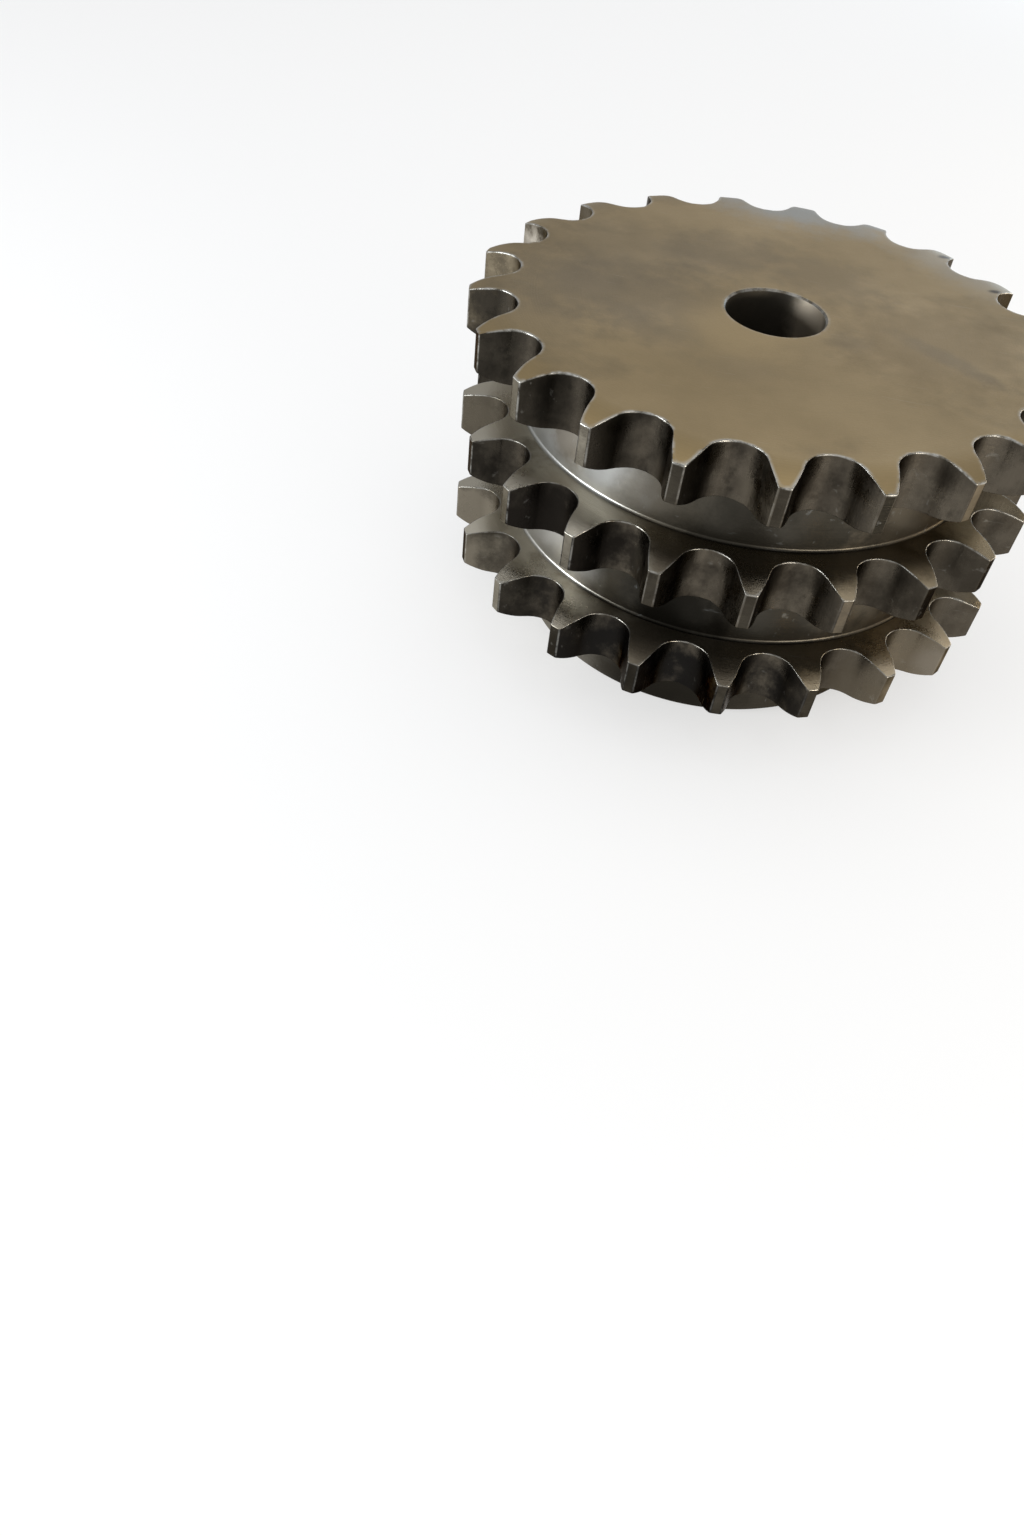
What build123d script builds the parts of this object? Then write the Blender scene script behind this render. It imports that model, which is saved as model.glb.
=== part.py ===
from build123d import *
import os
from math import acos, atan2, cos, degrees, hypot, pi, radians, sin

os.makedirs("parts", exist_ok=True)

# A three-row sprocket for roller chain, turned and toothed from one piece of steel.
# It stands on its hub. The origin is the centre of the bore on the hub's end face,
# +Z runs along the bore towards the toothed rows, and one tooth points along +X.
# All lengths are in millimetres and all angles in degrees.

# The chain that runs on it
chain_pitch = 25.4
row_pitch = 31.88

# Teeth
tooth_count = 21
row_count = 3
tooth_width = 15.8
tip_diameter = 181.2
seat_radius = 8.3
seat_angle = 136.0
flank_radius = 42.0
bevel_depth = 2.5
bevel_width = 10.2

# Barrel between the rows, hub and bore
barrel_diameter = 144.0
hub_diameter = 127.0
hub_length = 20.4
hub_chamfer = 1.5
bore_diameter = 30.0
bore_chamfer = 0.5

# The inside corners that the turning tool leaves beside the rows
corner_chamfer = 1.0

# How far the tooth-gap cutter reaches past the tips
cutter_clearance = 2.0

# Two places closer than this are one corner of the half section
same_place = 1e-4

# Values that follow from the sizes above
tooth_angle = 360 / tooth_count
pitch_radius = chain_pitch / (2 * sin(pi / tooth_count))
tip_radius = tip_diameter / 2
bevel_start = tip_radius - bevel_width
barrel_radius = barrel_diameter / 2
hub_radius = hub_diameter / 2
bore_radius = bore_diameter / 2
rows_width = (row_count - 1) * row_pitch + tooth_width
total_length = hub_length + rows_width
row_bottoms = [hub_length + row * row_pitch for row in range(row_count)]
row_tops = [bottom + tooth_width for bottom in row_bottoms]

# The flank arcs touch the roller seat where its arc ends, on the line from the seat's centre
half_seat = seat_angle / 2
flank_centre_x = pitch_radius - (seat_radius + flank_radius) * cos(radians(half_seat))
flank_centre_y = (seat_radius + flank_radius) * sin(radians(half_seat))
flank_distance = hypot(flank_centre_x, flank_centre_y)
cutter_radius = tip_radius + cutter_clearance
flank_end = degrees(
    atan2(flank_centre_y, flank_centre_x)
    - acos(
        (cutter_radius**2 - flank_distance**2 - flank_radius**2)
        / (2 * flank_distance * flank_radius)
    )
)


def corners_at(sketch, radius, heights):
    """The corners of a half section at one radius, at any of the given heights."""
    return [
        v
        for v in sketch.vertices()
        if abs(v.X - radius) < same_place
        and any(abs(v.Y - height) < same_place for height in heights)
    ]


# One tooth gap: the roller seat, with a flank on each side that runs out past the tips
with BuildSketch() as gap:
    with BuildLine():
        CenterArc((pitch_radius, 0), seat_radius, 180 - half_seat, seat_angle)
        left_flank = CenterArc(
            (flank_centre_x, flank_centre_y), flank_radius, -half_seat, flank_end + half_seat
        )
        right_flank = CenterArc(
            (flank_centre_x, -flank_centre_y), flank_radius, half_seat, -flank_end - half_seat
        )
        ThreePointArc(left_flank @ 1, (cutter_radius, 0), right_flank @ 1)
    make_face()

with BuildPart() as triplex_sprocket:
    # Turned blank: the hub and the barrel, then each row with a bevel on both sides
    with BuildSketch(Plane.XZ) as blank:
        with Locations((bore_radius, 0)):
            Rectangle(hub_radius - bore_radius, total_length, align=(Align.MIN, Align.MIN))
        with Locations((bore_radius, hub_length)):
            Rectangle(barrel_radius - bore_radius, rows_width, align=(Align.MIN, Align.MIN))
        for bottom, top in zip(row_bottoms, row_tops):
            with BuildLine():
                Polyline(
                    (bore_radius, bottom),
                    (bevel_start, bottom),
                    (tip_radius, bottom + bevel_depth),
                    (tip_radius, top - bevel_depth),
                    (bevel_start, top),
                    (bore_radius, top),
                    close=True,
                )
            make_face()
        groove_corners = corners_at(blank, barrel_radius, row_tops[:-1] + row_bottoms[1:])
        chamfer(groove_corners + corners_at(blank, hub_radius, [hub_length]), corner_chamfer)
        chamfer(corners_at(blank, hub_radius, [0]), hub_chamfer)
        chamfer(corners_at(blank, bore_radius, [0, total_length]), bore_chamfer)
    revolve(axis=Axis.Z)

    # The gaps are cut through all rows at once, so the teeth of the rows are in line
    with BuildSketch(Plane.XY.offset(hub_length)):
        with PolarLocations(0, tooth_count, start_angle=tooth_angle / 2):
            add(gap.sketch)
    extrude(amount=rows_width, mode=Mode.SUBTRACT)

triplex_sprocket.part.label = "triplex_sprocket"
export_step(triplex_sprocket.part, "parts/triplex_sprocket.step")
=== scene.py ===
import logging
from dataclasses import dataclass, field
from enum import Enum, IntEnum
from math import acos, atan2, cos, hypot, pi, radians, sin, tau

import bpy
import numpy as np
from bpy.types import ID, Material, Mesh, Node, NodeSocket, NodeTree, Object
from mathutils import Matrix, Vector


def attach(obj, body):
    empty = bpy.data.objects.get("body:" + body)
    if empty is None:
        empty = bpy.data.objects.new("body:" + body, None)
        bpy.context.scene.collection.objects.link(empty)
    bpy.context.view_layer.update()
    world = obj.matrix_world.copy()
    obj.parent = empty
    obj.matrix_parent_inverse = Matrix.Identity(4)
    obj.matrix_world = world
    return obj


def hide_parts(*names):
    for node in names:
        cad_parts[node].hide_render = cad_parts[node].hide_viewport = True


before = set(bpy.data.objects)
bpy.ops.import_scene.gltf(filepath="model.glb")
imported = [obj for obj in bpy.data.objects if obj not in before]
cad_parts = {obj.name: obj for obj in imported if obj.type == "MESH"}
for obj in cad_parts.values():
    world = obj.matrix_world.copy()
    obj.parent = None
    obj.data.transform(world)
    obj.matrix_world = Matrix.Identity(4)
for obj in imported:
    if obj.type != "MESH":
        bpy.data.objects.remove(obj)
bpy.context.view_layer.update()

LOG = logging.getLogger("sprocket")

# One millimetre in the metres of the scene
MM = 0.001

# Rings of the mesh that lie closer than this, in millimetres, are one ring
SAME_PLACE = 1e-6

Colour = tuple[float, float, float]
Point = tuple[float, float, float]
Inputs = dict[str | int, object]

ORIGIN: Point = (0.0, 0.0, 0.0)
WHITE: Colour = (1.0, 1.0, 1.0)


class Surface(IntEnum):
    """The machined surfaces of the sprocket, in the order of the material slots."""

    FACE = 0
    ROW_FACE = 1
    GAP = 2
    LAND = 3
    BARREL = 4
    HUB = 5
    BORE = 6
    EDGE = 7


class ToolMark(Enum):
    """The marks that a cutting tool leaves on a surface."""

    TURNED = "Turned marks"
    HOBBED = "Hobbed marks"


class Socket(Enum):
    """The kinds of socket that a node group has."""

    VALUE = "NodeSocketFloat"
    COLOUR = "NodeSocketColor"
    VECTOR = "NodeSocketVector"


def add_object(name: str, data: ID) -> Object:
    """Adds an object with the given data to the scene."""
    thing = bpy.data.objects.new(name, data)
    bpy.context.scene.collection.objects.link(thing)
    return thing


def directions(turns: np.ndarray) -> np.ndarray:
    """The unit vectors at some angles, in radians from +X."""
    return np.stack([np.cos(turns), np.sin(turns)], 1)


@dataclass(frozen=True)
class ToothOutline:
    """The outline of the toothed rows, seen along the bore, in millimetres.

    A roller seat joins a convex flank on each side without a corner, and each flank
    meets the land at the tip in a small rounded corner.
    """

    tooth_count: int = 21
    chain_pitch: float = 25.4
    tip_radius: float = 90.6
    seat_radius: float = 8.3
    half_seat: float = radians(68.0)
    flank_radius: float = 42.0
    corner_reach: float = 0.45
    land_steps: int = 2
    corner_steps: int = 3
    flank_steps: int = 6
    seat_steps: int = 6

    @property
    def pitch_radius(self) -> float:
        """The radius on which the rollers' centres lie."""
        return self.chain_pitch / (2 * sin(pi / self.tooth_count))

    def _half_gap(self) -> tuple[np.ndarray, np.ndarray, np.ndarray, np.ndarray]:
        """Half of a gap that opens along +X, from the middle of its seat to mid-land.

        Returns:
            The points, their outward normals, whether each lies on the land, and
            whether each lies in the corner between flank and land.
        """
        reach = self.seat_radius + self.flank_radius
        centre = np.array(
            [self.pitch_radius - reach * cos(self.half_seat), reach * sin(self.half_seat)]
        )
        distance = hypot(*centre)
        tip_turn = atan2(centre[1], centre[0]) - acos(
            (self.tip_radius**2 - distance**2 - self.flank_radius**2)
            / (2 * distance * self.flank_radius)
        )
        seat_turns = np.linspace(pi, pi - self.half_seat, self.seat_steps + 1)
        seat_way = directions(seat_turns)
        seat = np.array([self.pitch_radius, 0.0]) + self.seat_radius * seat_way

        flank_stop = tip_turn - self.corner_reach / self.flank_radius
        flank_turns = np.linspace(-self.half_seat, flank_stop, self.flank_steps + 1)[1:]
        flank_way = directions(flank_turns)
        flank = centre + self.flank_radius * flank_way

        tip = centre + self.flank_radius * np.array([cos(tip_turn), sin(tip_turn)])
        tip_angle = atan2(tip[1], tip[0])
        land_turns = np.linspace(
            tip_angle + self.corner_reach / self.tip_radius,
            pi / self.tooth_count,
            self.land_steps + 1,
        )
        land_way = directions(land_turns)
        land = self.tip_radius * land_way

        steps = np.linspace(0, 1, self.corner_steps + 1)[1:-1, None]
        corner = (1 - steps) ** 2 * flank[-1] + 2 * steps * (1 - steps) * tip + steps**2 * land[0]
        corner_way = (1 - steps) * flank_way[-1] + steps * land_way[0]
        corner_way /= np.linalg.norm(corner_way, axis=1)[:, None]

        points = np.concatenate([seat, flank, corner, land])
        normals = np.concatenate([-seat_way, flank_way, corner_way, land_way])
        on_land = np.zeros(len(points), bool)
        on_land[-len(land) :] = True
        on_corner = np.zeros(len(points), bool)
        on_corner[-len(land) - len(corner) : -len(land)] = True
        return points, normals, on_land, on_corner

    def columns(self) -> tuple[np.ndarray, np.ndarray, np.ndarray, np.ndarray]:
        """The whole outline, counter-clockwise, one entry for each column of the mesh.

        Returns:
            The points, their outward normals, whether the stretch after each point
            lies on a land, and whether each point lies in a tip's corner.
        """
        points, normals, on_land, on_corner = self._half_gap()
        flip = np.array([1.0, -1.0])
        gap_points = np.concatenate([(points * flip)[::-1], points[1:-1]])
        gap_normals = np.concatenate([(normals * flip)[::-1], normals[1:-1]])
        gap_land = np.concatenate([on_land[::-1], on_land[1:-1]])
        gap_corner = np.concatenate([on_corner[::-1], on_corner[1:-1]])
        all_points, all_normals = [], []
        for tooth in range(self.tooth_count):
            turn = tau * (tooth + 0.5) / self.tooth_count
            spin = np.array([[cos(turn), sin(turn)], [-sin(turn), cos(turn)]])
            all_points.append(gap_points @ spin)
            all_normals.append(gap_normals @ spin)
        land = np.tile(gap_land, self.tooth_count)
        return (
            np.concatenate(all_points),
            np.concatenate(all_normals),
            land & np.roll(land, -1),
            np.tile(gap_corner, self.tooth_count),
        )


@dataclass
class RingStack:
    """A closed skin made of rings that all have the same columns.

    Each ring has one normal for the strip before it and one for the strip after it,
    so an edge between two strips can be sharp without doubled vertices.
    """

    points: list[np.ndarray] = field(default_factory=list)
    before: list[np.ndarray] = field(default_factory=list)
    after: list[np.ndarray] = field(default_factory=list)
    surfaces: list[Surface] = field(default_factory=list)
    wear: list[float | np.ndarray] = field(default_factory=list)

    def add(
        self,
        points: np.ndarray,
        normals: np.ndarray,
        surface: Surface,
        wear: float | np.ndarray = 0.0,
    ) -> None:
        """Adds a ring, or gives the last ring a new normal if it is in the same place.

        Args:
            points: The ring's points, one a column.
            normals: Their unit normals.
            surface: What the strip after the ring is.
            wear: How much the ring is rubbed bright, from 0 to 1, as one number or one
                a column.
        """
        if self.points and np.abs(self.points[-1] - points).max() < SAME_PLACE:
            self.after[-1] = normals
            self.surfaces[-1] = surface
            return
        self.points.append(points)
        self.before.append(normals)
        self.after.append(normals)
        self.surfaces.append(surface)
        self.wear.append(wear)

    def mesh(self, name: str, land: np.ndarray, flank: np.ndarray) -> Mesh:
        """Joins the rings, the last one to the first, into a closed mesh.

        Args:
            name: The mesh's name.
            land: Whether the stretch after each column is a tooth's land.
            flank: Which way each column faces around the bore, from -1 to 1.

        Returns:
            The mesh, in metres, with its normals, wear and flanks.
        """
        rings, columns = len(self.points), len(self.points[0])
        ring = np.repeat(np.arange(rings), columns)
        column = np.tile(np.arange(columns), rings)
        next_ring, next_column = (ring + 1) % rings, (column + 1) % columns
        around = (
            (ring, column),
            (next_ring, column),
            (next_ring, next_column),
            (ring, next_column),
        )
        corners = np.stack([first * columns + second for first, second in around], 1)
        mesh = bpy.data.meshes.new(name)
        mesh.from_pydata((np.concatenate(self.points) * MM).tolist(), [], corners.tolist())
        after, before = np.array(self.after), np.array(self.before)
        ways = zip((after, before, before, after), around)
        normals = np.stack([way[corner] for way, corner in ways], 1)
        slots = np.array(self.surfaces)[ring]
        slots = np.where((slots == Surface.GAP) & land[column], Surface.LAND, slots)
        mesh.polygons.foreach_set("material_index", slots.astype(np.int32))
        mesh.polygons.foreach_set("use_smooth", np.ones(len(slots), bool))
        mesh.update()
        mesh.normals_split_custom_set(normals.reshape(-1, 3).tolist())
        worn = np.concatenate([np.broadcast_to(wear, columns) for wear in self.wear])
        for label, values in (("wear", worn), ("flank", np.tile(flank, rings))):
            layer = mesh.attributes.new(label, "FLOAT", "POINT")
            layer.data.foreach_set("value", values.astype(np.float32))
        return mesh


@dataclass
class TriplexSprocket:
    """The sprocket: three toothed rows on a barrel, a hub below them and a bore.

    Sizes are in millimetres and rubs go from 0 to 1. The turns across a broken edge are
    in degrees, and a nick's reach around the bore is in radians.
    """

    outline: ToothOutline = field(default_factory=ToothOutline)
    row_count: int = 3
    row_pitch: float = 31.88
    tooth_width: float = 15.8
    relief_depth: float = 2.5
    relief_radius: float = 26.0
    barrel_radius: float = 72.0
    hub_radius: float = 63.5
    hub_length: float = 20.4
    corner_radius: float = 0.9
    hub_chamfer: float = 1.5
    bore_radius: float = 15.0
    bore_chamfer: float = 0.5
    edge_break: float = 0.2
    edge_variation: float = 0.13
    edge_waves: tuple[tuple[int, float], ...] = ((9, 0.5), (23, 0.7), (61, 0.8), (140, 0.6))
    edge_wave_peak: float = 1.6
    edge_turns: tuple[float, ...] = (30.0, 60.0, 90.0)
    edge_least: float = 0.07
    edge_most: float = 0.6
    nick_count: int = 7
    nick_depth: tuple[float, float] = (0.15, 0.35)
    nick_reach: float = 0.005
    wear_reach: float = 0.3
    halo_reach: float = 0.8
    rim_reach: float = 1.0
    top_rub: float = 1.0
    rim_rub: float = 0.55
    lower_rub: float = 0.55
    corner_rub: float = 1.0
    face_radii: tuple[float, ...] = (30.0, 45.0, 60.0)
    face_rings: int = 9
    wall_rings: int = 6
    fillet_steps: int = 4
    seed: int = 21

    def __post_init__(self) -> None:
        """Works out the columns, the heights and where the side relief starts."""
        self.flat, self.normal, self.land, self.corner = self.outline.columns()
        self.angle = np.arctan2(self.flat[:, 1], self.flat[:, 0])
        self.radial = directions(self.angle)
        self.flank = self.radial[:, 0] * self.normal[:, 1] - self.radial[:, 1] * self.normal[:, 0]
        apart = self.flat[:, None] - self.flat[self.corner][None]
        self.from_corner = np.linalg.norm(apart, axis=2).min(axis=1)
        inner = self.relief_radius - self.relief_depth
        self.relief_start = self.outline.tip_radius - (self.relief_radius**2 - inner**2) ** 0.5
        self.bottoms = [self.hub_length + row * self.row_pitch for row in range(self.row_count)]
        self.top = self.bottoms[-1] + self.tooth_width
        self.lip = self.top - self.bore_chamfer
        self.rim = self.bore_radius + self.bore_chamfer
        self.random = np.random.default_rng(self.seed)

    def _ring(self, radius: float, height: float) -> np.ndarray:
        """A round ring at a radius and a height."""
        return np.column_stack([self.radial * radius, np.full(len(self.radial), height)])

    def _way(self, outward: float, upward: float) -> np.ndarray:
        """The unit normals of a turned surface, from their radial and upward parts."""
        size = hypot(outward, upward)
        return np.column_stack(
            [self.radial * outward / size, np.full(len(self.radial), upward / size)]
        )

    def _broken_edge(self) -> np.ndarray:
        """How wide the broken edge is at each column, with a few small nicks.

        Returns:
            The widths, in millimetres.
        """
        waves = np.zeros(len(self.angle))
        for count, size in self.edge_waves:
            phase = self.random.uniform(0, tau)
            waves += size * np.sin(self.angle * count + phase)
        width = self.edge_break + self.edge_variation * waves / self.edge_wave_peak
        for _ in range(self.nick_count):
            place = self.random.uniform(-pi, pi)
            apart = np.angle(np.exp(1j * (self.angle - place)))
            depth = self.random.uniform(*self.nick_depth)
            width += depth * np.exp(-((apart / self.nick_reach) ** 2))
        return np.clip(width, self.edge_least, self.edge_most)

    def _relief(self, radius: np.ndarray) -> tuple[np.ndarray, np.ndarray]:
        """How far the side relief drops at some radii, and its slope there."""
        past = np.maximum(radius - self.relief_start, 0.0)
        rest = np.sqrt(self.relief_radius**2 - past**2)
        return self.relief_radius - rest, past / rest

    def _inset(self, contour: np.ndarray, reach: float) -> np.ndarray:
        """Moves a contour inwards, without folding it over at the tips' corners.

        Args:
            contour: The contour as it is seen along the bore.
            reach: How far it moves.

        Returns:
            The moved contour.
        """
        moved = contour - self.normal * reach
        order = np.arange(len(moved))
        clear = self.from_corner > reach
        for axis in (0, 1):
            moved[:, axis] = np.interp(order, order[clear], moved[clear, axis], period=len(order))
        return moved

    def _on_side(
        self, place: np.ndarray, height: float, upward: int
    ) -> tuple[np.ndarray, np.ndarray]:
        """A ring on the side of a row, dropped by the relief.

        Args:
            place: The ring as it is seen along the bore.
            height: The height of the side's flat part.
            upward: 1 if the side faces up and -1 if it faces down.

        Returns:
            The ring's points and their unit normals.
        """
        radius = np.hypot(place[:, 0], place[:, 1])
        drop, slope = self._relief(radius)
        outward = place / radius[:, None] * slope[:, None]
        way = np.column_stack([outward, np.full(len(slope), upward)])
        way /= np.linalg.norm(way, axis=1)[:, None]
        return np.column_stack([place, height - upward * drop]), way

    def _side(
        self,
        stack: RingStack,
        height: float,
        upward: int,
        inner: float,
        surface: Surface,
        rub: float = 0.0,
    ) -> None:
        """Adds one side of a row: outwards if it faces up, and inwards if it faces down.

        Args:
            stack: Where the rings go.
            height: The height of the side's flat part.
            upward: 1 if the side faces up and -1 if it faces down.
            inner: The radius at which the side starts on the barrel, hub or face.
            surface: What the side is.
            rub: How much the side's edge is rubbed bright, from 0 to 1.
        """
        edge = self._broken_edge()
        start = self.radial * inner
        contour = self.flat - self.normal * edge[:, None]
        reach = self.halo_reach if rub > self.lower_rub else self.wear_reach
        unworn = self._inset(contour, reach)
        broken = Surface.EDGE if rub > 0 else Surface.GAP
        rings = []
        for share in np.linspace(0, 1, self.face_rings + 1):
            points, way = self._on_side(start + (unworn - start) * share, height, upward)
            rings.append((points, way, surface, 0.0))
        face_points, face_way = self._on_side(contour, height, upward)
        rings.append((face_points, face_way, broken if upward > 0 else surface, rub))
        wall_way = np.column_stack([self.normal, np.zeros(len(self.normal))])
        for turn in np.radians(self.edge_turns):
            place = self.flat - self.normal * (edge * (1 - sin(turn)))[:, None]
            level = face_points[:, 2] - upward * edge * (1 - cos(turn))
            way = face_way * cos(turn) + wall_way * sin(turn)
            way /= np.linalg.norm(way, axis=1)[:, None]
            rings.append((np.column_stack([place, level]), way, broken, rub))
        if upward > 0:
            rings[-1] = (*rings[-1][:2], Surface.GAP, rub)
        else:
            rings.reverse()
        for points, way, kind, wear in rings:
            stack.add(points, way, kind, wear)

    def _wall(self, stack: RingStack, lower: np.ndarray) -> None:
        """Adds the rings of the gap walls between the last ring and a lower one.

        The tips' corners are rubbed there, and their brightness is also a painted highlight:
        strongest where the sprocket faces -X and none where it faces +X.

        Args:
            stack: Where the rings go.
            lower: The heights at which the walls end.
        """
        upper = stack.points[-1][:, 2]
        way = np.column_stack([self.normal, np.zeros(len(self.normal))])
        # Painted highlight: the rub is strongest on the -X side and none at +X.
        lit_side_share = 0.5 - 0.5 * self.radial[:, 0]
        rub = self.corner * self.corner_rub * lit_side_share**2
        first = upper - self.wear_reach
        for share in np.linspace(0, 1, self.wall_rings + 1)[:-1]:
            level = first + (lower - first) * share
            stack.add(np.column_stack([self.flat, level]), way, Surface.GAP, rub)

    def _fillet(
        self, stack: RingStack, radius: float, height: float, upward: int, surface: Surface
    ) -> None:
        """Adds an inside corner between a turned wall and the side of a row.

        Args:
            stack: Where the rings go.
            radius: The wall's radius.
            height: The height of the row's side.
            upward: 1 for the corner on a side that faces up, -1 for one that faces down.
            surface: What the fillet is.
        """
        turns = np.linspace(0, pi / 2, self.fillet_steps + 1)
        if upward < 0:
            turns = turns[::-1]
        for turn in turns:
            out = radius + self.corner_radius * (1 - cos(turn))
            level = height + upward * self.corner_radius * (1 - sin(turn))
            stack.add(self._ring(out, level), self._way(cos(turn), upward * sin(turn)), surface)

    def _face(self, stack: RingStack) -> None:
        """Adds the bore's upper chamfer and the top face, as far as the top row.

        Args:
            stack: Where the rings go.
        """
        up, lean = self._way(0, 1), self._way(-1, 1)
        stack.add(self._ring(self.bore_radius, self.lip), lean, Surface.EDGE, self.rim_rub)
        stack.add(self._ring(self.rim, self.top), lean, Surface.FACE, self.rim_rub)
        stack.add(self._ring(self.rim, self.top), up, Surface.FACE, self.rim_rub)
        for radius in (self.rim + self.rim_reach, *self.face_radii):
            stack.add(self._ring(radius, self.top), up, Surface.FACE)

    def _row(self, stack: RingStack, row: int) -> None:
        """Adds a toothed row, and the barrel between it and the row below.

        Args:
            stack: Where the rings go.
            row: The row's number, 0 for the lowest.
        """
        highest, lowest = row == self.row_count - 1, row == 0
        inner = self.barrel_radius + self.corner_radius
        side = Surface.FACE if highest else Surface.ROW_FACE
        rub = self.top_rub if highest else self.lower_rub
        self._side(stack, self.bottoms[row] + self.tooth_width, 1, inner, side, rub)
        below = RingStack()
        under = self.hub_radius + self.corner_radius if lowest else inner
        self._side(below, self.bottoms[row], -1, under, Surface.ROW_FACE)
        self._wall(stack, below.points[0][:, 2])
        for ring in zip(below.points, below.before, below.surfaces, below.wear):
            stack.add(*ring)
        if not lowest:
            self._fillet(stack, self.barrel_radius, self.bottoms[row], -1, Surface.BARREL)
            ledge = self.bottoms[row - 1] + self.tooth_width
            self._fillet(stack, self.barrel_radius, ledge, 1, Surface.BARREL)

    def _hub_and_bore(self, stack: RingStack) -> None:
        """Adds the hub and the bore, and closes the skin.

        Args:
            stack: Where the rings go.
        """
        self._fillet(stack, self.hub_radius, self.bottoms[0], -1, Surface.HUB)
        down, inward = self._way(0, -1), self._way(-1, 0)
        outer_lean, inner_lean = self._way(1, -1), self._way(-1, -1)
        edge = self.hub_radius - self.hub_chamfer
        for radius, height, way, surface in (
            (self.hub_radius, self.hub_chamfer, self._way(1, 0), Surface.HUB),
            (self.hub_radius, self.hub_chamfer, outer_lean, Surface.HUB),
            (edge, 0.0, outer_lean, Surface.HUB),
            (edge, 0.0, down, Surface.ROW_FACE),
            (self.rim, 0.0, down, Surface.ROW_FACE),
            (self.rim, 0.0, inner_lean, Surface.EDGE),
            (self.bore_radius, self.bore_chamfer, inner_lean, Surface.EDGE),
            (self.bore_radius, self.bore_chamfer, inward, Surface.BORE),
            (self.bore_radius, self.lip - self.wear_reach, inward, Surface.BORE),
        ):
            stack.add(self._ring(radius, height), way, surface)
        stack.before[0] = inward

    def build(self, name: str) -> Object:
        """Builds the sprocket as one closed skin, from the top face round to the bore.

        Args:
            name: The object's name.

        Returns:
            The object, linked into the scene.
        """
        stack = RingStack()
        self._face(stack)
        for row in reversed(range(self.row_count)):
            self._row(stack, row)
        self._hub_and_bore(stack)
        return add_object(name, stack.mesh(name, self.land, self.flank))

    def dress(self, piece: Object, finishes: dict[Surface, "SteelFinish"]) -> None:
        """Gives each surface its own finish.

        Args:
            piece: The sprocket.
            finishes: The finish of each surface.
        """
        groups = ShaderGroups()
        for surface in Surface:
            piece.data.materials.append(finishes[surface].material(groups))


class NodeBoard:
    """Adds nodes to a shader tree and links them."""

    # The numbers of a Mix node's colour sockets
    MIX_SHARE = 0
    MIX_FIRST = 6
    MIX_SECOND = 7
    MIX_RESULT = 2

    def __init__(self, tree: NodeTree) -> None:
        """Starts with an emptied tree."""
        self.tree = tree
        tree.nodes.clear()

    def add(self, kind: str, inputs: Inputs | None = None, **settings: object) -> Node:
        """Adds a node.

        Args:
            kind: The node's type in Blender.
            inputs: What its inputs take, by their names or numbers.
            settings: Values of the node's own properties.

        Returns:
            The node.
        """
        node = self.tree.nodes.new(kind)
        for key, value in settings.items():
            setattr(node, key, value)
        for key, value in (inputs or {}).items():
            self.feed(node.inputs[key], value)
        return node

    def feed(self, socket: NodeSocket, value: object) -> None:
        """Links a socket to an input, or sets the input to a plain value."""
        if isinstance(value, NodeSocket):
            self.tree.links.new(value, socket)
        else:
            socket.default_value = value

    def group(self, tree: NodeTree, inputs: Inputs) -> Node:
        """Adds a node group with values of its own."""
        return self.add("ShaderNodeGroup", inputs, node_tree=tree)

    def place(self) -> NodeSocket:
        """The place on the object, in metres."""
        return self.add("ShaderNodeTexCoord").outputs["Object"]

    def point_value(self, name: str) -> NodeSocket:
        """A value that the mesh holds at its points."""
        return self.add("ShaderNodeAttribute", attribute_name=name).outputs["Fac"]

    def noise(self, place: object, scale: object, detail: float, roughness: float) -> NodeSocket:
        """The value of a noise texture at a place."""
        inputs = {"Vector": place, "Scale": scale, "Detail": detail, "Roughness": roughness}
        return self.add("ShaderNodeTexNoise", inputs).outputs["Fac"]

    def math(self, operation: str, first: object, second: object = 0.0) -> NodeSocket:
        """The result of a math node."""
        return self.add("ShaderNodeMath", {0: first, 1: second}, operation=operation).outputs[0]

    def spread(
        self, value: object, low: float, high: float, start: float = 0.0, stop: float = 1.0
    ) -> NodeSocket:
        """A value moved from one range to another and kept inside it."""
        inputs = {
            "Value": value,
            "From Min": low,
            "From Max": high,
            "To Min": start,
            "To Max": stop,
        }
        return self.add("ShaderNodeMapRange", inputs).outputs["Result"]

    def mix(self, share: object, first: object, second: object) -> NodeSocket:
        """A colour between two colours."""
        inputs = {self.MIX_SHARE: share, self.MIX_FIRST: first, self.MIX_SECOND: second}
        return self.add("ShaderNodeMix", inputs, data_type="RGBA").outputs[self.MIX_RESULT]

    def stretch(self, place: object, scale: Point, shift: Point = ORIGIN) -> NodeSocket:
        """A place scaled and shifted along each axis."""
        inputs = {"Vector": place, "Scale": scale, "Location": shift}
        return self.add("ShaderNodeMapping", inputs).outputs["Vector"]


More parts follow.
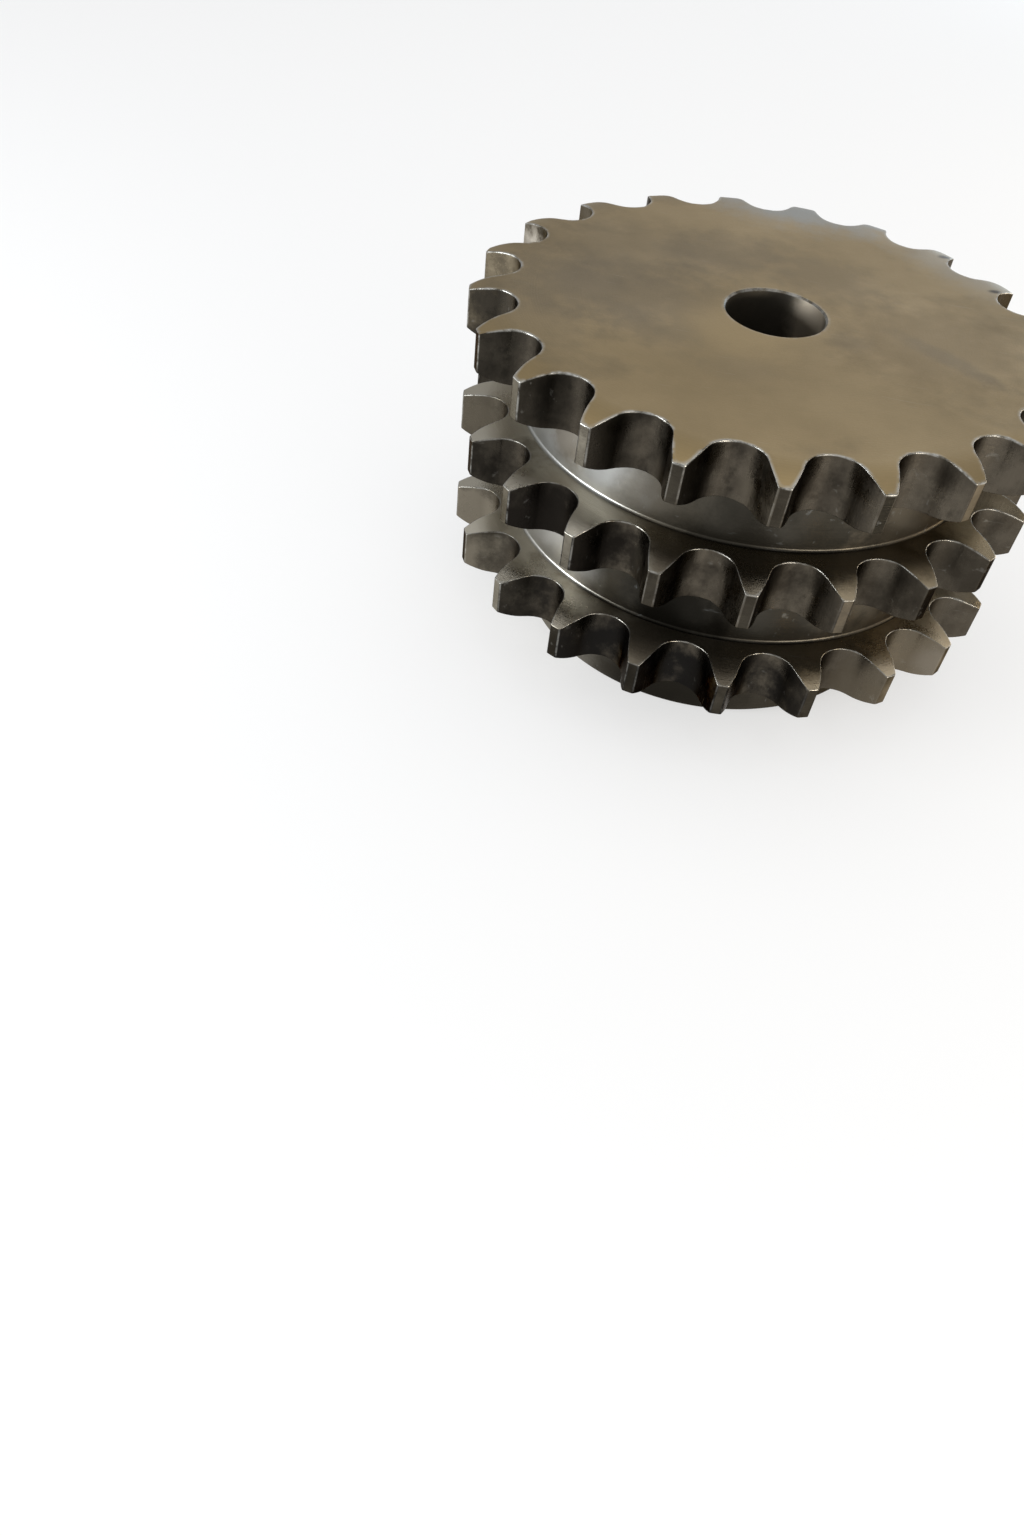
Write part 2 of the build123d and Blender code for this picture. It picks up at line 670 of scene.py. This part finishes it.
class ShaderGroups:
    """The effects that several finishes share, each built once as a node group."""

    def __init__(self) -> None:
        """Builds the groups."""
        self.stain = self._stain()
        self.marks = {ToolMark.TURNED: self._turned(), ToolMark.HOBBED: self._hobbed()}
        self.grain = self._grain()
        self.wear = self._wear()
        self.patch = self._patch()

    def _start(
        self, name: str, inputs: dict[str, object], outputs: dict[str, Socket]
    ) -> tuple[NodeBoard, dict[str, NodeSocket], Node]:
        """Starts a node group.

        Args:
            name: The group's name.
            inputs: The default of each input: a number, a colour of four numbers or a
                vector of three.
            outputs: The kind of each output.

        Returns:
            The board, the input sockets by name and the output node.
        """
        tree = bpy.data.node_groups.new(name, "ShaderNodeTree")
        board = NodeBoard(tree)
        for label, default in inputs.items():
            kind = Socket.VALUE
            if isinstance(default, tuple):
                kind = Socket.COLOUR if len(default) == 4 else Socket.VECTOR
            socket = tree.interface.new_socket(name=label, in_out="INPUT", socket_type=kind.value)
            socket.default_value = default
        for label, kind in outputs.items():
            tree.interface.new_socket(name=label, in_out="OUTPUT", socket_type=kind.value)
        entry = board.add("NodeGroupInput")
        leave = board.add("NodeGroupOutput")
        return board, {label: entry.outputs[label] for label in inputs}, leave

    def _stain(self) -> NodeTree:
        """Blotches of an oil-darkened film, in three tones."""
        grey = (0.5, 0.5, 0.5, 1.0)
        board, given, leave = self._start(
            "Oil stain",
            {"Light": grey, "Middle": grey, "Dark": grey, "Scale": 20.0, "Smudges": 0.5},
            {"Colour": Socket.COLOUR, "Mask": Socket.VALUE},
        )
        place = board.place()
        broad = board.noise(place, given["Scale"], detail=5.0, roughness=0.6)
        cloud = board.spread(broad, low=0.36, high=0.64)
        base = board.mix(cloud, given["Middle"], given["Light"])
        long_place = board.stretch(place, scale=(1.0, 1.2, 1.0), shift=(0.31, 0.12, 0.0))
        finer = board.math("MULTIPLY", given["Scale"], 1.9)
        smear = board.noise(long_place, finer, detail=6.0, roughness=0.62)
        smudge = board.math("MULTIPLY", board.spread(smear, low=0.54, high=0.72), given["Smudges"])
        board.feed(leave.inputs["Colour"], board.mix(smudge, base, given["Dark"]))
        board.feed(leave.inputs["Mask"], board.math("SUBTRACT", cloud, smudge))
        return board.tree

    def _turned(self) -> NodeTree:
        """Fine rings around the bore, as a turning tool leaves them."""
        board, given, leave = self._start(
            ToolMark.TURNED.value, {"Feed": 3.0}, {"Height": Socket.VALUE}
        )
        across, deep, up = board.add("ShaderNodeSeparateXYZ", {0: board.place()}).outputs
        squares = [board.math("MULTIPLY", value, value) for value in (across, deep)]
        radius = board.math("SQRT", board.math("ADD", *squares))
        in_mm = {
            "X": board.math("MULTIPLY", radius, 1.0 / MM),
            "Z": board.math("MULTIPLY", up, 1.0 / MM),
        }
        along = board.add("ShaderNodeCombineXYZ", in_mm).outputs[0]
        rings = board.noise(along, given["Feed"], detail=3.0, roughness=0.7)
        board.feed(leave.inputs["Height"], rings)
        return board.tree

    def _hobbed(self) -> NodeTree:
        """Streaks along the bore's direction, as a hob leaves them in the gaps."""
        board, given, leave = self._start(
            ToolMark.HOBBED.value, {"Feed": 3.0}, {"Height": Socket.VALUE}
        )
        place = board.place()
        long_place = board.stretch(place, scale=(260.0, 260.0, 14.0))
        streaks = board.noise(long_place, given["Feed"], detail=3.0, roughness=0.6)
        flat_place = board.stretch(place, scale=(30.0, 30.0, 420.0))
        ripples = board.noise(flat_place, 1.0, detail=2.0, roughness=0.5)
        strong = board.math("MULTIPLY", streaks, 0.8)
        faint = board.math("MULTIPLY", ripples, 0.2)
        board.feed(leave.inputs["Height"], board.math("ADD", strong, faint))
        return board.tree

    def _grain(self) -> NodeTree:
        """The fine grain of worn steel and a few short scratches."""
        board, given, leave = self._start(
            "Fine grain", {"Scale": 900.0}, {"Height": Socket.VALUE, "Scratches": Socket.VALUE}
        )
        place = board.place()
        fine = board.noise(place, given["Scale"], detail=4.0, roughness=0.65)
        board.feed(leave.inputs["Height"], fine)
        long_place = board.stretch(place, scale=(60.0, 900.0, 300.0), shift=(0.2, 0.5, 0.1))
        lines = board.noise(long_place, 1.0, detail=3.0, roughness=0.6)
        board.feed(leave.inputs["Scratches"], board.spread(lines, low=0.66, high=0.74))
        return board.tree

    def _patch(self) -> NodeTree:
        """One soft patch at a place, a little ragged at its edge."""
        board, given, leave = self._start(
            "Patch",
            {
                "Centre": ORIGIN,
                "Turn": ORIGIN,
                "Size": (0.02, 0.005, 1.0),
                "Amount": 0.5,
                "Ragged": 0.3,
            },
            {"Mask": Socket.VALUE},
        )
        place = board.place()
        measures = {
            "Vector": place,
            "Location": given["Centre"],
            "Rotation": given["Turn"],
            "Scale": given["Size"],
        }
        local = board.add("ShaderNodeMapping", measures, vector_type="TEXTURE").outputs["Vector"]
        apart = board.add("ShaderNodeVectorMath", {0: local}, operation="LENGTH").outputs["Value"]
        blots = board.noise(place, 110.0, detail=5.0, roughness=0.65)
        uneven = board.spread(blots, low=0.3, high=0.7, start=-1.0)
        reach = board.math("ADD", apart, board.math("MULTIPLY", uneven, given["Ragged"]))
        edge = {"Value": reach, "From Min": 1.0, "From Max": 0.25}
        soft = board.add("ShaderNodeMapRange", edge, interpolation_type="SMOOTHSTEP")
        mask = board.math("MULTIPLY", soft.outputs["Result"], given["Amount"])
        board.feed(leave.inputs["Mask"], mask)
        return board.tree

    def _wear(self) -> NodeTree:
        """Where edges are rubbed bright, in a broken line."""
        board, given, leave = self._start("Edge wear", {"Amount": 0.5}, {"Mask": Socket.VALUE})
        gaps = board.noise(board.place(), 260.0, detail=5.0, roughness=0.65)
        broken = board.spread(gaps, low=0.38, high=0.58)
        worn = board.math("MULTIPLY", board.point_value("wear"), broken)
        board.feed(leave.inputs["Mask"], board.math("MULTIPLY", worn, given["Amount"]))
        return board.tree


@dataclass(frozen=True)
class Patch:
    """A soft patch on a surface that is darker or paler, in millimetres and degrees; most are
    painted light and shade.
    """

    centre: Point
    size: Point
    turn: float
    amount: float
    tone: Colour
    ragged: float = 0.2

    def inputs(self) -> Inputs:
        """The values of the patch's node group, in metres and radians."""
        return {
            "Centre": tuple(value * MM for value in self.centre),
            "Turn": (0.0, 0.0, radians(self.turn)),
            "Size": tuple(value * MM for value in self.size),
            "Amount": self.amount,
            "Ragged": self.ragged,
        }


@dataclass(frozen=True)
class SteelFinish:
    """The finish of one machined steel surface."""

    name: str
    light: Colour
    middle: Colour
    dark: Colour
    bright: Colour = (0.62, 0.66, 0.68)
    stain_scale: float = 22.0
    smudges: float = 0.6
    roughness: float = 0.42
    roughness_spread: float = 0.12
    mark: ToolMark = ToolMark.TURNED
    mark_feed: float = 2.4
    mark_height: float = 0.06
    mottle: float = 0.22
    scratches: float = 0.12
    grain_scale: float = 1400.0
    grain_height: float = 0.05
    wear: float = 0.6
    metallic: float = 1.0
    # How much lighter the gap walls' flanks that face clockwise are, as rub and painted light, and
    # how much darker, as painted shade, those that face counter-clockwise are.
    flank_rub_and_light: float = 0.0
    flank_shade: float = 0.0
    edge_tint: Colour = (0.5, 0.46, 0.41)
    patches: tuple[Patch, ...] = ()

    def _tone(
        self,
        board: NodeBoard,
        groups: ShaderGroups,
        film: NodeSocket,
        marks: NodeSocket,
    ) -> NodeSocket:
        """The colour before scratches and wear, with the flanks' rub, their painted light and
        shade, and the patches.

        Args:
            board: The material's board.
            groups: The shared effects.
            film: The colour of the stained film.
            marks: The height of the tool marks.

        Returns:
            The colour.
        """
        dark = (*self.dark, 1.0)
        tone = board.mix(board.spread(marks, low=0.3, high=0.7, stop=self.mottle), film, dark)
        # Flanks that face clockwise are made lighter, as rub and painted light, and those that
        # face counter-clockwise darker, as painted shade.
        if self.flank_rub_and_light > 0:
            flank = board.point_value("flank")
            rubbed = board.spread(flank, low=-0.1, high=-0.8, stop=self.flank_rub_and_light)
            flank_shade_share = board.spread(flank, low=0.3, high=0.9, stop=self.flank_shade)
            tone = board.mix(rubbed, tone, (*self.light, 1.0))
            tone = board.mix(flank_shade_share, tone, dark)
        # Most patches are painted light and shade; a few are stains and marks.
        for patch in self.patches:
            mask = board.group(groups.patch, patch.inputs()).outputs["Mask"]
            tone = board.mix(mask, tone, (*patch.tone, 1.0))
        return tone

    def material(self, groups: ShaderGroups) -> Material:
        """Builds the material.

        Args:
            groups: The shared effects.

        Returns:
            The material.
        """
        material = bpy.data.materials.new(self.name)
        material.use_nodes = True
        board = NodeBoard(material.node_tree)
        film = {
            "Light": (*self.light, 1.0),
            "Middle": (*self.middle, 1.0),
            "Dark": (*self.dark, 1.0),
            "Scale": self.stain_scale,
            "Smudges": self.smudges,
        }
        stain = board.group(groups.stain, film)
        marks = board.group(groups.marks[self.mark], {"Feed": self.mark_feed}).outputs["Height"]
        grain = board.group(groups.grain, {"Scale": self.grain_scale})
        wear = board.group(groups.wear, {"Amount": self.wear}).outputs["Mask"]
        bright = (*self.bright, 1.0)
        tone = self._tone(board, groups, stain.outputs["Colour"], marks)
        scratches = board.math("MULTIPLY", grain.outputs["Scratches"], self.scratches)
        colour = board.mix(wear, board.mix(scratches, tone, bright), bright)
        roughness = board.spread(
            board.math("ADD", stain.outputs["Mask"], grain.outputs["Height"]),
            low=0.3,
            high=1.4,
            start=self.roughness + self.roughness_spread,
            stop=self.roughness - self.roughness_spread,
        )
        height = board.math(
            "ADD",
            board.math("MULTIPLY", marks, self.mark_height),
            board.math("MULTIPLY", grain.outputs["Height"], self.grain_height),
        )
        bump = board.add("ShaderNodeBump", {"Strength": 1.0, "Distance": MM, "Height": height})
        steel = {
            "Base Color": colour,
            "Metallic": self.metallic,
            "Roughness": roughness,
            "Specular Tint": (*self.edge_tint, 1.0),
            "Normal": bump.outputs["Normal"],
        }
        shader = board.add("ShaderNodeBsdfPrincipled", steel)
        board.add("ShaderNodeOutputMaterial", {"Surface": shader.outputs["BSDF"]})
        return material


# Darker tone of the top face, for its stains and to make it darker towards the left
DARK_TONE: Colour = (0.115, 0.094, 0.064)
# Browner tone for the top face's right side
BROWN_TONE: Colour = (0.148, 0.105, 0.048)
# Painted reflection along the top face's back rim
RIM_SHEEN: Colour = (0.27, 0.28, 0.275)
PIT: Colour = (0.05, 0.04, 0.03)
# Rubbed steel at worn edges, and a painted highlight on the barrel's lower left
RUBBED_STEEL_AND_HIGHLIGHT: Colour = (0.42, 0.41, 0.38)
# Painted highlight on the barrel's upper left
BARREL_HIGHLIGHT_PAINT: Colour = (0.36, 0.36, 0.345)
# Painted shade, faint
FAINT_SHADE_PAINT: Colour = (0.02, 0.017, 0.013)
# The tip lands' darkest oil tone, and painted shade at the front
OIL_AND_SHADE: Colour = (0.016, 0.014, 0.011)
# Painted shade, deep
DEEP_SHADE_PAINT: Colour = (0.014, 0.012, 0.01)
# Painted shadow, black
BLACK_SHADOW_PAINT: Colour = (0.014, 0.013, 0.012)
# The gap walls' darkest oil tone, and painted shadow on the barrel and the hub
BLACK_OIL_AND_SHADOW: Colour = (0.012, 0.011, 0.009)

FINISHES: dict[Surface, SteelFinish] = {
    Surface.FACE: SteelFinish(
        "faced_steel",
        light=(0.308, 0.229, 0.117),
        middle=(0.253, 0.189, 0.097),
        dark=(0.12, 0.098, 0.064),
        bright=RUBBED_STEEL_AND_HIGHLIGHT,
        stain_scale=14.0,
        smudges=0.4,
        mottle=0.12,
        roughness=0.5,
        roughness_spread=0.06,
        mark_height=0.03,
        grain_height=0.03,
        wear=0.75,
        edge_tint=WHITE,
        patches=(
            # The first six patches make the face darker towards the left, browner at the right and
            # paler just in front of the bore. The ragged ones after them are stains and streaks,
            # the two along the back rim are a painted reflection, and the last two are small dark
            # pits.
            Patch((-48, 26, 99.9), (44, 32, 10), 20, 0.28, DARK_TONE),
            Patch((-50, -4, 99.9), (58, 34, 10), 0, 0.45, DARK_TONE),
            Patch((46, -4, 99.9), (44, 40, 10), 0, 0.52, BROWN_TONE),
            Patch((-18, 34, 99.9), (30, 24, 10), 15, 0.34, DARK_TONE),
            Patch((-9, -15, 99.9), (24, 24, 10), 0, 0.7, (0.325, 0.243, 0.125)),
            Patch((-66, -30, 99.9), (26, 16, 10), -50, 0.2, DARK_TONE),
            Patch((52, -12, 99.9), (28, 6, 10), -35, 0.34, DARK_TONE, 0.3),
            Patch((-56, -3, 99.9), (20, 12, 10), 10, 0.22, DARK_TONE, 0.3),
            Patch((-36, -24, 99.9), (26, 14, 10), -25, 0.26, DARK_TONE, 0.3),
            Patch((-7.5, -39, 99.9), (17, 11, 10), 0, 0.14, DARK_TONE, 0.3),
            Patch((22, -11, 99.9), (10, 8, 10), 0, 0.26, DARK_TONE, 0.3),
            Patch((14, 30, 99.9), (30, 22, 10), -20, 0.28, DARK_TONE, 0.3),
            Patch((8, 88, 99.9), (56, 30, 10), -2, 0.9, RIM_SHEEN, 0.15),
            Patch((59, 61, 99.9), (54, 22, 10), -44, 0.42, RIM_SHEEN, 0.15),
            Patch((53.5, 63.2, 99.9), (3.4, 2.2, 10), 40, 1.0, PIT, 0.35),
            Patch((68.1, 42.3, 99.9), (3.4, 2, 10), 20, 1.0, PIT, 0.35),
        ),
    ),
    Surface.ROW_FACE: SteelFinish(
        "row_side_steel",
        light=(0.225, 0.195, 0.148),
        middle=(0.155, 0.133, 0.1),
        dark=(0.08, 0.069, 0.053),
        roughness=0.38,
        wear=0.4,
        patches=(
            # The row sides' patches are painted light and shade: painted light on the left, at the
            # front and on the right-hand teeth, and painted shade at the right and front-right and
            # in a small spot on the left.
            Patch((-76, -26, 50), (56, 36, 200), -72, 1.4, (0.45, 0.42, 0.355)),
            Patch((-46, -67, 66), (34, 30, 60), -35, 1.4, (0.39, 0.36, 0.3)),
            Patch((-66, -46, 66), (11, 14, 22), -55, 0.6, (0.12, 0.103, 0.077), 0.5),
            Patch((64, -50, 50), (26, 26, 200), 52, 1.3, (0.34, 0.28, 0.19)),
            Patch((46, -77, 50), (42, 10, 200), 31, 1.2, (0.4, 0.33, 0.225), 0.3),
            Patch((60, -66, 34), (46, 14, 14), 42, 1.0, (0.6, 0.5, 0.355), 0.3),
            Patch((82, -22, 50), (24, 24, 40), 0, 0.5, (0.05, 0.042, 0.03)),
            Patch((54, -54, 67), (18, 18, 10), 0, 0.7, FAINT_SHADE_PAINT, 0.3),
            Patch((62, -44, 34), (20, 16, 14), 50, 0.8, (0.46, 0.38, 0.27), 0.3),
            Patch((-76, -35, 34), (16, 15, 12), -64, 0.8, (0.6, 0.56, 0.47), 0.3),
        ),
    ),
    Surface.GAP: SteelFinish(
        "hobbed_steel",
        light=(0.11, 0.094, 0.072),
        middle=(0.039, 0.033, 0.026),
        dark=BLACK_OIL_AND_SHADOW,
        bright=RUBBED_STEEL_AND_HIGHLIGHT,
        stain_scale=110.0,
        roughness=0.34,
        wear=0.75,
        mark=ToolMark.HOBBED,
        mark_height=0.05,
        flank_rub_and_light=0.35,
        flank_shade=0.65,
        edge_tint=(0.4, 0.375, 0.345),
        patches=(
            # The gap walls' patches are painted light and shade: painted light on the left and
            # back-left walls and in spots at the front and right, and painted shade across the
            # front, from front-left to front-right.
            Patch((68, -60, 24), (32, 32, 34), 0, 0.85, (0.165, 0.136, 0.095), 0.15),
            Patch((-88, 16, 92), (44, 30, 24), -100, 0.9, (0.15, 0.124, 0.085), 0.3),
            Patch((-85, 29, 92), (16, 20, 14), -109, 1.0, (0.4, 0.365, 0.31), 0.4),
            Patch((-65, 55, 95), (14, 14, 12), 0, 1.0, (0.15, 0.132, 0.104)),
            Patch((-87, -17, 60), (20, 20, 18), -79, 0.6, (0.15, 0.129, 0.096), 0.3),
            Patch((-84, -26, 26), (27, 24, 18), -73, 1.4, (0.18, 0.158, 0.122)),
            Patch((-54, -69, 58), (54, 36, 17), -38, 1.1, DEEP_SHADE_PAINT, 0.25),
            Patch((-13, -85, 26), (80, 34, 20), -9, 1.1, BLACK_SHADOW_PAINT, 0.25),
            Patch((66, -60, 60), (64, 40, 15), 47, 0.6, FAINT_SHADE_PAINT),
            Patch((-46, -68, 92), (44, 30, 20), -34, 0.4, OIL_AND_SHADE, 0.15),
            Patch((1, -84, 92), (8, 14, 16), 0, 0.9, (0.115, 0.098, 0.074)),
            Patch((-25, -83, 60), (8, 12, 13), 0, 0.9, (0.064, 0.055, 0.042)),
            Patch((28, -82, 28), (9, 14, 16), 0, 0.7, BLACK_SHADOW_PAINT),
            Patch((73, -55, 26), (10, 12, 16), 0, 0.8, (0.215, 0.188, 0.15)),
        ),
    ),
    Surface.LAND: SteelFinish(
        "tip_land_steel",
        light=(0.064, 0.056, 0.043),
        middle=(0.036, 0.031, 0.024),
        dark=OIL_AND_SHADE,
        bright=(0.5, 0.49, 0.46),
        stain_scale=110.0,
        roughness=0.36,
        edge_tint=(0.34, 0.31, 0.27),
        patches=(
            # The lands' patches are painted light and shade: painted light at the front-left and
            # in spots at the front and right, and painted shade at the front and front-right.
            Patch((-58, -69, 76), (44, 30, 60), -40, 1.1, (0.165, 0.149, 0.119)),
            Patch((57, -70, 92), (14, 14, 14), 39, 1.0, (0.17, 0.14, 0.1)),
            Patch((67, -60, 60), (38, 38, 15), 0, 1.0, DEEP_SHADE_PAINT),
            Patch((32.5, -84.6, 60), (13, 13, 13), 0, 1.0, (0.11, 0.092, 0.068)),
            Patch((32.5, -84.6, 92), (14, 14, 14), 0, 0.7, (0.018, 0.016, 0.012)),
            Patch((-66, -62, 28), (14, 14, 13), 0, 1.1, (0.26, 0.24, 0.2)),
            Patch((-33, -84, 28), (34, 20, 14), -21, 0.8, OIL_AND_SHADE),
            Patch((66, -62, 28), (26, 26, 14), 0, 1.0, (0.2, 0.165, 0.118)),
        ),
    ),
    Surface.BARREL: SteelFinish(
        "barrel_steel",
        light=(0.058, 0.053, 0.044),
        middle=(0.034, 0.031, 0.025),
        dark=(0.016, 0.015, 0.012),
        stain_scale=40.0,
        smudges=0.5,
        mottle=0.12,
        roughness=0.4,
        roughness_spread=0.05,
        mark_height=0.03,
        grain_height=0.02,
        patches=(
            # The barrel's patches are painted light and shade: a painted highlight on its left
            # with a darker strip in it, paler patches at the front-left and front-right, and
            # painted shadow low at the front.
            Patch((-27, -66.7, 78), (24, 30, 30), -22, 0.9, (0.11, 0.098, 0.078)),
            Patch((48, -53.7, 62), (26, 26, 70), 42, 0.9, (0.105, 0.09, 0.068), 0.4),
            Patch((-10, -71.3, 42), (22, 30, 18), -8, 0.9, BLACK_OIL_AND_SHADOW, 0.3),
            Patch((-56, -45.2, 78), (41, 40, 32), -51, 1.9, BARREL_HIGHLIGHT_PAINT, 0.05),
            Patch((-57.5, -43.3, 42), (33, 40, 26), -53, 1.9, RUBBED_STEEL_AND_HIGHLIGHT, 0.05),
            Patch((-51.4, -50.5, 77), (11, 20, 12), -45.5, 0.8, (0.19, 0.165, 0.13), 0.3),
        ),
    ),
    Surface.HUB: SteelFinish(
        "hub_steel",
        light=(0.06, 0.053, 0.042),
        middle=(0.034, 0.03, 0.024),
        dark=(0.018, 0.016, 0.013),
        patches=(
            # The hub's patches are a painted highlight on its left and a painted shadow at its
            # front.
            Patch((-50, -39, 10), (34, 36, 60), -52, 0.9, (0.22, 0.205, 0.175)),
            Patch((-8, -63, 10), (34, 24, 40), -7, 0.7, BLACK_OIL_AND_SHADOW),
        ),
    ),
    Surface.BORE: SteelFinish(
        "bored_steel",
        light=(0.15, 0.132, 0.105),
        middle=(0.12, 0.106, 0.084),
        dark=(0.08, 0.07, 0.056),
        stain_scale=30.0,
        smudges=0.2,
        mottle=0.1,
        edge_tint=WHITE,
        # The patch is a painted highlight: a pale streak on the bore's wall at the back-right.
        patches=(Patch((12, 9, 93), (10.5, 10.5, 17), 0, 1.4, (0.66, 0.57, 0.45), 0.12),),
        scratches=0.0,
        roughness=0.46,
        roughness_spread=0.03,
        mark_height=0.02,
        grain_height=0.01,
    ),
    Surface.EDGE: SteelFinish(
        "broken_edge_steel",
        light=(0.15, 0.132, 0.102),
        middle=(0.095, 0.083, 0.063),
        dark=(0.05, 0.043, 0.033),
        bright=(0.46, 0.45, 0.42),
        stain_scale=90.0,
        roughness=0.34,
        wear=0.85,
        edge_tint=WHITE,
    ),
}


@dataclass(frozen=True)
class SoftLamp:
    """A rectangular studio lamp, with places and sizes in millimetres.

    Its level is the brightness of its panel, on the scale where 1 is white.
    """

    name: str
    place: Point
    aim: Point
    width: float
    height: float
    level: float
    colour: Colour = WHITE

    def build(self) -> None:
        """Adds the lamp to the scene, unseen by the camera."""
        lamp = bpy.data.lights.new(self.name, "AREA")
        lamp.shape = "RECTANGLE"
        lamp.size = self.width * MM
        lamp.size_y = self.height * MM
        lamp.energy = pi * lamp.size * lamp.size_y * self.level
        lamp.color = self.colour
        stand = add_object(self.name, lamp)
        stand.location = Vector(self.place) * MM
        way = Vector(self.aim) - Vector(self.place)
        stand.rotation_euler = way.to_track_quat("-Z", "Y").to_euler()
        stand.visible_camera = False


@dataclass(frozen=True)
class Studio:
    """The floor, the light around the object and the lamps."""

    floor_half_width: float = 4000.0
    floor_colour: Colour = (0.9, 0.9, 0.9)
    floor_roughness: float = 0.9
    floor_white: float = 0.55
    room_colour: Colour = (0.97, 0.985, 1.0)
    room_level: float = 0.56
    lamps: tuple[SoftLamp, ...] = (
        SoftLamp("lamp_top", (-150, 0, 1400), (-100, 0, 0), 1500, 1500, 0.7),
        SoftLamp("lamp_back", (314, 1260, 750), (0, 0, 80), 1000, 700, 0.8),
        SoftLamp("lamp_left", (-785, -417, 170), (0, 0, 50), 520, 260, 20, (0.93, 0.97, 1.0)),
        SoftLamp("lamp_rim", (541, 1017, 130), (0, 0, 80), 625, 250, 2, (0.7, 0.88, 1.0)),
        SoftLamp("lamp_right", (660, 330, 110), (0, 0, 50), 500, 200, 7, (1.0, 0.86, 0.66)),
        SoftLamp("lamp_front", (600, -600, 95), (0, 0, 60), 440, 170, 26, (1.0, 0.93, 0.82)),
    )

    def _floor(self) -> Object:
        """Adds the floor, which cameras and metal see partly as plain white.

        Returns:
            The floor.
        """
        half = self.floor_half_width * MM
        mesh = bpy.data.meshes.new("floor")
        corners = [(-half, -half, 0.0), (half, -half, 0.0), (half, half, 0.0), (-half, half, 0.0)]
        mesh.from_pydata(corners, [], [(0, 1, 2, 3)])
        material = bpy.data.materials.new("floor_paint")
        material.use_nodes = True
        board = NodeBoard(material.node_tree)
        matt = {
            "Base Color": (*self.floor_colour, 1.0),
            "Roughness": self.floor_roughness,
            "Specular IOR Level": 0.0,
        }
        paint = board.add("ShaderNodeBsdfPrincipled", matt).outputs["BSDF"]
        rays = board.add("ShaderNodeLightPath").outputs
        shown = board.math("MAXIMUM", rays["Is Camera Ray"], rays["Is Glossy Ray"])
        shown = board.math("MAXIMUM", shown, rays["Is Transmission Ray"])
        white = board.add("ShaderNodeEmission").outputs[0]
        share = board.math("MULTIPLY", shown, self.floor_white)
        blend = board.add("ShaderNodeMixShader", {0: share, 1: paint, 2: white})
        board.add("ShaderNodeOutputMaterial", {"Surface": blend.outputs[0]})
        mesh.materials.append(material)
        return add_object("floor", mesh)

    def _room(self) -> None:
        """Lights the room evenly from all around."""
        world = bpy.data.worlds.new("room")
        bpy.context.scene.world = world
        world.use_nodes = True
        board = NodeBoard(world.node_tree)
        light = {"Color": (*self.room_colour, 1.0), "Strength": self.room_level}
        sky = board.add("ShaderNodeBackground", light)
        board.add("ShaderNodeOutputWorld", {"Surface": sky.outputs[0]})

    def build(self) -> None:
        """Adds the floor, the room's light and the lamps."""
        self._room()
        self._floor()
        for lamp in self.lamps:
            lamp.build()


@dataclass(frozen=True)
class Viewpoint:
    """The camera, with its place in millimetres and its turns in degrees."""

    place: Point = (-26.10, -344.25, 242.11)
    heading: float = 4.431
    look_down: float = 51.821
    roll: float = 8.201
    lens: float = 25.659
    sensor: float = 36.0
    shift_up: float = 0.081
    nearest: float = 10.0
    farthest: float = 50000.0

    def build(self) -> None:
        """Adds the camera and makes it the scene's own."""
        data = bpy.data.cameras.new("viewpoint")
        data.lens = self.lens
        data.sensor_width = self.sensor
        data.shift_y = self.shift_up
        data.clip_start = self.nearest * MM
        data.clip_end = self.farthest * MM
        camera = add_object("viewpoint", data)
        turn = (
            Matrix.Rotation(radians(self.heading), 4, "Z")
            @ Matrix.Rotation(radians(90.0 - self.look_down), 4, "X")
            @ Matrix.Rotation(radians(self.roll), 4, "Z")
        )
        camera.matrix_world = Matrix.Translation(Vector(self.place) * MM) @ turn
        bpy.context.scene.camera = camera


def main() -> None:
    """Builds the sprocket, dresses it and sets up the studio."""
    logging.basicConfig(level=logging.INFO, format="%(message)s")
    sprocket = TriplexSprocket()
    piece = sprocket.build("sprocket_body")
    sprocket.dress(piece, FINISHES)
    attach(piece, "root")
    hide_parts("triplex_sprocket")
    LOG.info("%s: %d faces", piece.name, len(piece.data.polygons))
    Viewpoint().build()
    Studio().build()
    bpy.context.scene.view_settings.view_transform = "Standard"


if __name__ == "__main__":
    main()
